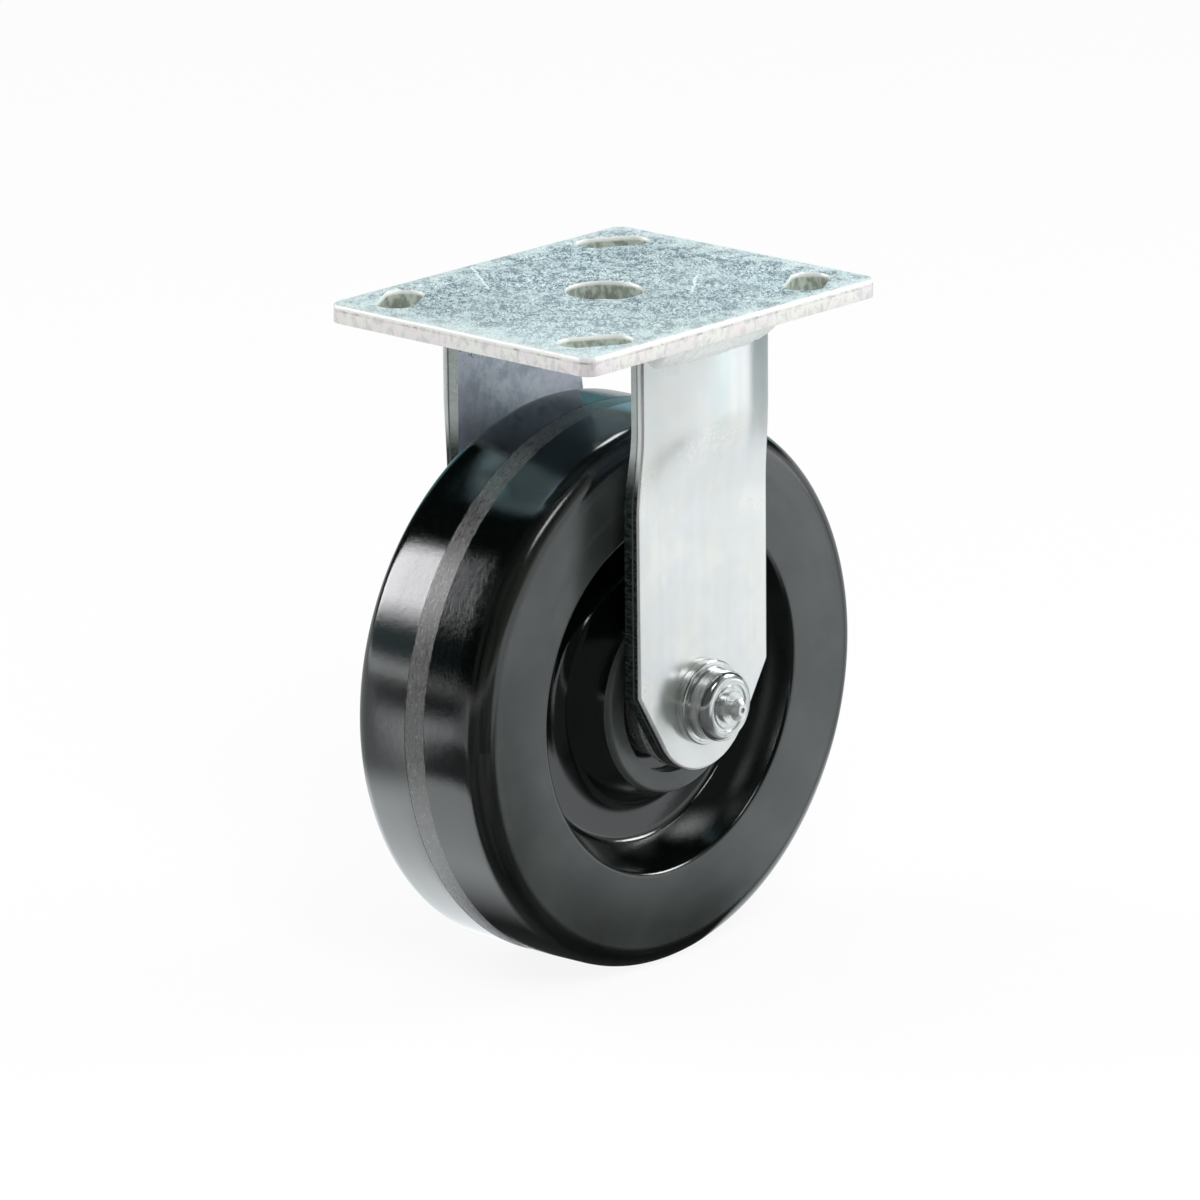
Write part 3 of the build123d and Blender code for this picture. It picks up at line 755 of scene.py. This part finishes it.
def wheel_line():
    """The moulding's closed section, as distance from the middle plane and radius."""
    half = [
        (COUNTERBORE_FACE, RACE_RADIUS, 0), (COUNTERBORE_FACE, COUNTERBORE_RADIUS, 0),
        (HUB_FACE, COUNTERBORE_RADIUS, 0), (HUB_FACE, HUB_RADIUS, HUB_ROUNDING),
        (WEB_FACE, HUB_FOOT_RADIUS, HUB_FOOT_ROUNDING),
        (WEB_FACE, RECESS_FLOOR_RADIUS, RECESS_FLOOR_ROUNDING),
        (RING_FACE, RECESS_EDGE_RADIUS, RECESS_EDGE_ROUNDING), (RING_FACE, SHOULDER_RADIUS, 0)]
    line = rounded(half, 10)
    tread_edge = (TREAD_HALF, WHEEL_RADIUS - TREAD_DRAFT)
    line += bulged((RING_FACE, SHOULDER_RADIUS), tread_edge, SHOULDER_BULGE)[1:]
    # the tread rises by its draft towards the ground band, which lies a step lower
    for along, share in ((13.0, 0.66), (8.0, 0.30), (BAND_HALF + 0.1, 0.0)):
        line.append(Vector((along, WHEEL_RADIUS - TREAD_DRAFT * share)))
    for along in (BAND_HALF, 0.0):
        line.append(Vector((along, WHEEL_RADIUS - BAND_STEP)))
    other_half = [Vector((-point.x, point.y)) for point in reversed(line[:-1])]
    return line + other_half


turned("wheel_moulding", wheel_line(), 384, "wheel", "phenolic", "wheel")


# Axle bolt

def bolt_line():
    """The bolt's closed section, as place along the axle and radius."""
    groove_floor = HEAD_FACE + GROOVE_DEPTH
    head = [
        (DRILLING_END, DRILLING_RADIUS, 0), (SOCKET_FLOOR, DRILLING_RADIUS, 0),
        (SOCKET_FLOOR, SOCKET_RADIUS, 0), (HEAD_FACE, SOCKET_RADIUS, 0),
        (HEAD_FACE, GROOVE_INNER, 0), (groove_floor, GROOVE_INNER + 0.1, 0),
        (groove_floor, GROOVE_OUTER - 0.1, 0), (HEAD_FACE, GROOVE_OUTER, 0),
        (HEAD_FACE, HEAD_RADIUS, HEAD_ROUNDING), (FLANGE_FACE, HEAD_RADIUS, HEAD_FOOT_ROUNDING),
        (FLANGE_FACE, FLANGE_RADIUS, FLANGE_ROUNDING), (-LEG_OUTER, FLANGE_RADIUS, FLANGE_FOOT_ROUNDING),
        (-LEG_OUTER, AXLE_RADIUS, 0), (THREAD_START, AXLE_RADIUS, 0)]
    line = rounded(head, 6)
    rows = 72
    for row in range(1, rows + 1):
        along = THREAD_START + (THREAD_END - THREAD_START) * row / rows
        line.append(Vector((along, min(AXLE_RADIUS, AXLE_RADIUS - BOLT_CHAMFER + (THREAD_END - along)))))
    for along, out in (
            (THREAD_END, DIMPLE_RADIUS), (THREAD_END - DIMPLE_DEPTH, NEAR_AXIS), (DRILLING_END, NEAR_AXIS)):
        line.append(Vector((along, out)))
    return line


def thread(along, out, turn):
    """Depth of a single-start thread, fading in over its first pitch."""
    core_radius = 4.5
    if along <= THREAD_START or out < core_radius:
        return 0.0
    phase = (along / THREAD_PITCH - turn) % 1.0
    return THREAD_DEPTH * min(1.0, (along - THREAD_START) / THREAD_PITCH) * abs(2 * phase - 1)


turned("bolt_turned", bolt_line(), 192, "fork", "bolt_zinc", "axle_bolt", thread)


# Legs

def flat_leg(node, top):
    """The node's mesh up to the height top, with an even ring of corners round its open end."""
    bm = bmesh.new()
    bm.from_mesh(nodes[node].data)
    bmesh.ops.remove_doubles(bm, verts=bm.verts, dist=1e-6)
    everything = bm.verts[:] + bm.edges[:] + bm.faces[:]
    bmesh.ops.bisect_plane(
        bm, geom=everything, plane_co=(0, 0, top * MM), plane_no=(0, 0, 1), clear_outer=True)
    for edge in [edge for edge in bm.edges if edge.is_boundary]:
        cuts = int(edge.calc_length() / MM)
        if cuts:
            bmesh.ops.subdivide_edges(bm, edges=[edge], cuts=cuts)
    edge = next(edge for edge in bm.edges if edge.is_boundary)
    ring, corner = [edge.verts[0]], edge.verts[1]
    while corner is not ring[0]:
        ring.append(corner)
        edge = next(other for other in corner.link_edges if other.is_boundary and other is not edge)
        corner = edge.other_vert(corner)
    return bm, ring


def arched(along, depth, share):
    """X and Y of a point of the flat leg's section, drawn up to the arch as far as share says."""
    out, angle = ARCH_RADIUS - depth, along / ARCH_RADIUS
    x = along + share * (out * math.sin(angle) - along)
    y = LEG_OUTER - depth + share * (out * math.cos(angle) - ARCH_AXIS - LEG_OUTER + depth)
    return x, y


def pressed_leg(name, sign, node):
    """The flat lower half of a leg as it is, and above it the arch, drawn up smoothly out of the flat."""
    top = ARCH_LOW - 2.0
    bm, ring = flat_leg(node, top)
    places = [(corner.co.x / MM, LEG_OUTER - abs(corner.co.y) / MM) for corner in ring]
    rows = 44
    for row in range(1, rows + 1):
        z = top + (-PLATE_THICKNESS - top) * row / rows
        share = min(1.0, max(0.0, (z - ARCH_LOW) / (ARCH_FULL - ARCH_LOW)))
        share = share * share * (3 - 2 * share)
        above = []
        for along, depth in places:
            x, y = arched(along, depth, share)
            above.append(bm.verts.new((x * MM, sign * y * MM, z * MM)))
        for index in range(len(ring)):
            after = (index + 1) % len(ring)
            bm.faces.new((ring[index], ring[after], above[after], above[index]))
        ring = above
    bm.faces.new(ring)
    mesh_data = bpy.data.meshes.new(name)
    bm.to_mesh(mesh_data)
    bm.free()
    dress(name, mesh_data, "fork", "leg_zinc", node)


pressed_leg("leg_pressed_right", -1, "right_leg")
pressed_leg("leg_pressed_left", 1, "left_leg")


# Weld beads

def weld_section(along, rows):
    """The bead's section at a place along it, as reach out from the leg and down from the plate."""
    end = WELD_LENGTH / 2 - abs(along)
    shrink = math.sqrt(max(0.0, 1 - (1 - min(1.0, end / WELD_END)) ** 2))
    ripple_turns = along / WELD_RIPPLE_PITCH + 0.10 * math.sin(along * 0.9)
    ripple = WELD_RIPPLE * math.sin(2 * math.pi * ripple_turns)
    wave = 0.95 + 0.025 * math.sin(along * 0.55 + 1.0) + 0.015 * math.sin(along * 1.7)
    size = WELD_LEG * wave * max(shrink, 0.02)
    for row in range(rows + 1):
        turn = math.pi / 2 * row / rows
        swell = (WELD_BULGE * shrink * 0.75 + ripple * 0.6) * math.sin(2 * turn)
        reach = size / (math.cos(turn) + math.sin(turn)) + swell
        yield max(0.0, reach * math.cos(turn)), max(0.0, reach * math.sin(turn))
    # the last corner lies just inside the leg and the plate
    sunk = 0.05
    yield -sunk, -sunk


def weld_bead(name, sign, node):
    """A fillet weld round the arched leg, with the ripples that its torch left and rounded ends."""
    columns, rows = 240, 14
    vertices, faces = [], []
    for column in range(columns + 1):
        along = WELD_LENGTH * (column / columns - 0.5)
        angle = along / ARCH_RADIUS
        for reach, drop in weld_section(along, rows):
            out = ARCH_RADIUS + reach
            y = -sign * (ARCH_AXIS - out * math.cos(angle))
            vertices.append((out * math.sin(angle), y, -PLATE_THICKNESS - drop))
    ring = rows + 2
    for column in range(columns):
        here, after = column * ring, (column + 1) * ring
        for row in range(ring):
            other = (row + 1) % ring
            faces.append((here + row, here + other, after + other, after + row))
    faces.append(tuple(range(ring)))
    faces.append(tuple(columns * ring + row for row in range(ring)))
    piece_from(name, vertices, faces, "fork", "weld_metal", node)


weld_bead("weld_bead_right", -1, "right_weld")
weld_bead("weld_bead_left", 1, "left_weld")


# Studio

WHITE = (1.0, 1.0, 1.0)
# Reflector cards round the object. Each has a direction about the Y axis with half a width and a soft
# edge, a direction towards +Y with the same two, all in degrees, and a colour.
CARDS = (
    (30, 24, 13, 55, 14, 0.9, (0.16, 0.42, 0.46)),
    (26, 23, 5, 26, 14.5, 0.9, (0.57, 1.02, 1.14)),
    (87, 12, 4, 28, 12.5, 0.9, (0.52, 1.28, 1.30)),
    (138, 9, 6, 28, 12, 1.5, (0.06, 0.07, 0.07)),
    (60, 9, 3, 24, 6, 2.5, (6.5, 6.7, 6.8)),
    (146, 11, 5, 56, 14.8, 0.6, (4.2, 4.2, 4.3)),
    (137, 13, 2, 56, 14.8, 0.6, (8.0, 8.0, 8.2)),
    (165, 8, 3, 56, 15, 0.9, (0.22, 0.30, 0.31)),
    (178, 5, 2, 56, 15, 0.9, (2.0, 2.1, 2.1)),
    (36, 11, 4, -24, 7, 2.5, (10.0, 10.2, 10.2)),
    (98, 12, 4, -42, 4, 2.0, (5.0, 5.1, 5.2)),
    (13, 15, 8, -56, 16, 6.0, (0.78, 0.84, 0.84)),
)


def floor_glow(graph):
    """How bright glossy surfaces see each place of the floor, which is dark close to the object."""
    x, y, _ = graph.separate(graph.millimetres())
    away = graph.length(x, y)
    left = graph.times(x, -1.0)
    across = graph.plus(x, y)
    # in front, dim on the left and bright on the right, with two bright fields further out
    front = graph.step(across, -120.0, -40.0, 0.10, 0.90)
    field = graph.times(graph.step(y, -190.0, -330.0, 0.0, 0.84), graph.step(x, -30.0, 50.0))
    front = graph.math("MAXIMUM", front, field)
    far = graph.times(graph.step(across, 5.0, 70.0, 0.0, 0.75), graph.step(y, -360.0, -430.0))
    front = graph.plus(front, far)
    front = graph.times(front, graph.step(graph.plus(y, graph.times(x, 0.45)), -30.0, 60.0, 1.0, 0.42))
    front = graph.times(front, graph.step(away, 40.0, 135.0, 0.04, 1.0))
    # beside the wheel on the left, bright, then a dark stripe, then grey
    close = graph.step(left, 42.0, 82.0, 0.04, 1.55)
    close = graph.blend(graph.window(left, 240.0, 74.0, 10.0), close, 0.14)
    close = graph.blend(graph.step(left, 300.0, 360.0), close, 0.72)
    # behind, brightest on the left, dark far away, and an even grey towards the right
    beyond = graph.step(left, 15.0, 62.0, 1.35, 2.35)
    beyond = graph.blend(graph.step(away, 300.0, 760.0), beyond, 0.12)
    even = graph.times(graph.step(across, -75.0, -50.0), graph.step(away, 130.0, 200.0))
    beyond = graph.blend(even, beyond, 0.66)
    rear = graph.step(graph.plus(y, graph.times(x, 0.64)), -9.0, -3.0)
    behind = graph.step(graph.plus(y, graph.times(x, 0.25)), -34.0, -14.0)
    return graph.blend(behind, front, graph.blend(rear, close, beyond))


def studio_floor():
    half = 9.0
    corners = [
        (side_x * half, side_y * half, FLOOR_Z * MM)
        for side_x, side_y in ((-1, -1), (1, -1), (1, 1), (-1, 1))]
    mesh_data = bpy.data.meshes.new("studio_floor")
    mesh_data.from_pydata(corners, [], [(0, 1, 2, 3)])
    floor = bpy.data.objects.new("studio_floor", mesh_data)
    bpy.context.scene.collection.objects.link(floor)
    surface = bpy.data.materials.new("studio_floor")
    surface.use_nodes = True
    graph = Graph(surface.node_tree)
    path = graph.add("ShaderNodeLightPath")
    plain = graph.add("ShaderNodeBsdfDiffuse")
    graph.put(plain.inputs["Color"], (0.86, 0.86, 0.86))
    seen = graph.add("ShaderNodeEmission")
    graph.put(seen.inputs["Color"], (0.95, 1.0, 1.02))
    graph.put(seen.inputs["Strength"], floor_glow(graph))
    lit = graph.choose(path.outputs["Is Glossy Ray"], plain, seen)
    # the camera sees a near white floor that keeps the contact shadow
    white = graph.add("ShaderNodeEmission")
    shown = graph.choose(graph.times(path.outputs["Is Camera Ray"], 0.90), lit, white)
    out = graph.add("ShaderNodeOutputMaterial")
    graph.put(out.inputs[0], shown.outputs[0])
    floor.data.materials.append(surface)


def world_glow(graph):
    """What glossy surfaces see: reflector cards on a dark surround, and white below the horizon."""
    x, y, z = graph.separate(graph.add("ShaderNodeTexCoord").outputs["Generated"])
    turn = graph.times(graph.math("ARCTAN2", z, x), 180 / math.pi)
    lean = graph.times(graph.math("ARCSINE", y), 180 / math.pi)
    flank = graph.step(lean, -8.0, -20.0)
    right = graph.step(turn, 75.0, 45.0)
    above = graph.step(z, -0.05, 0.10)
    surround = graph.mix(right, (0.030, 0.042, 0.036), (0.36, 0.38, 0.38))
    surround = graph.mix(flank, (0.004, 0.007, 0.006), surround)
    seen = graph.mix(above, (1.0, 1.0, 0.99), surround)
    for about, wide, wide_edge, towards, tall, tall_edge, colour in CARDS:
        width = graph.window(turn, about, wide, wide_edge)
        height = graph.window(lean, towards, tall, tall_edge)
        seen = graph.mix(graph.times(width, height), seen, colour)
    return seen


def studio_world():
    world = bpy.data.worlds.new("studio")
    bpy.context.scene.world = world
    world.use_nodes = True
    graph = Graph(world.node_tree)
    path = graph.add("ShaderNodeLightPath")
    light = graph.add("ShaderNodeBackground")
    graph.put(light.inputs["Color"], WHITE)
    graph.put(light.inputs["Strength"], 0.55)
    gloss = graph.add("ShaderNodeBackground")
    graph.put(gloss.inputs["Color"], world_glow(graph))
    white = graph.add("ShaderNodeBackground")
    graph.put(white.inputs["Color"], WHITE)
    lit = graph.choose(path.outputs["Is Glossy Ray"], light, gloss)
    shown = graph.choose(path.outputs["Is Camera Ray"], lit, white)
    out = graph.add("ShaderNodeOutputWorld")
    graph.put(out.inputs[0], shown.outputs[0])


def lamp(name, place, size, power):
    """A soft round lamp at a place in metres, turned to the axle."""
    lamp_data = bpy.data.lights.new(name, "AREA")
    lamp_data.shape = "DISK"
    lamp_data.size = size
    lamp_data.energy = power
    made = bpy.data.objects.new(name, lamp_data)
    bpy.context.scene.collection.objects.link(made)
    made.location = place
    made.rotation_mode = "QUATERNION"
    made.rotation_quaternion = (Vector(place) - Vector((0, 0, AXLE_Z * MM))).to_track_quat("Z", "Y")
    made.visible_camera = False
    made.visible_glossy = False


def studio_camera():
    """A camera at the photograph's viewing angle. Its distance and target are in metres."""
    azimuth, elevation, tilt = (math.radians(angle) for angle in (-47.81, 16.07, -0.50))
    distance = 2.241
    target_right, target_z = -0.00194, -0.08581
    back = Vector((
        math.sin(azimuth) * math.cos(elevation),
        -math.cos(azimuth) * math.cos(elevation),
        math.sin(elevation)))
    right = Vector((math.cos(azimuth), math.sin(azimuth), 0.0))
    target = right * target_right + Vector((0, 0, target_z))
    camera_data = bpy.data.cameras.new("camera")
    camera_data.sensor_width = 36.0
    camera_data.lens = 250.1
    camera_data.clip_start = 0.1
    camera_data.clip_end = 50.0
    camera = bpy.data.objects.new("camera", camera_data)
    bpy.context.scene.collection.objects.link(camera)
    camera.location = target + back * distance
    camera.rotation_mode = "QUATERNION"
    camera.rotation_quaternion = Quaternion(back, tilt) @ back.to_track_quat("Z", "Y")
    bpy.context.scene.camera = camera


studio_floor()
studio_world()
lamp("key_lamp", (-0.9, -1.3, 1.3), 1.0, 26.0)
lamp("fill_lamp", (1.5, -0.9, 0.7), 1.2, 12.0)
lamp("back_lamp", (-0.6, 1.5, 1.1), 1.0, 10.0)
studio_camera()
bpy.context.scene.view_settings.view_transform = "Standard"
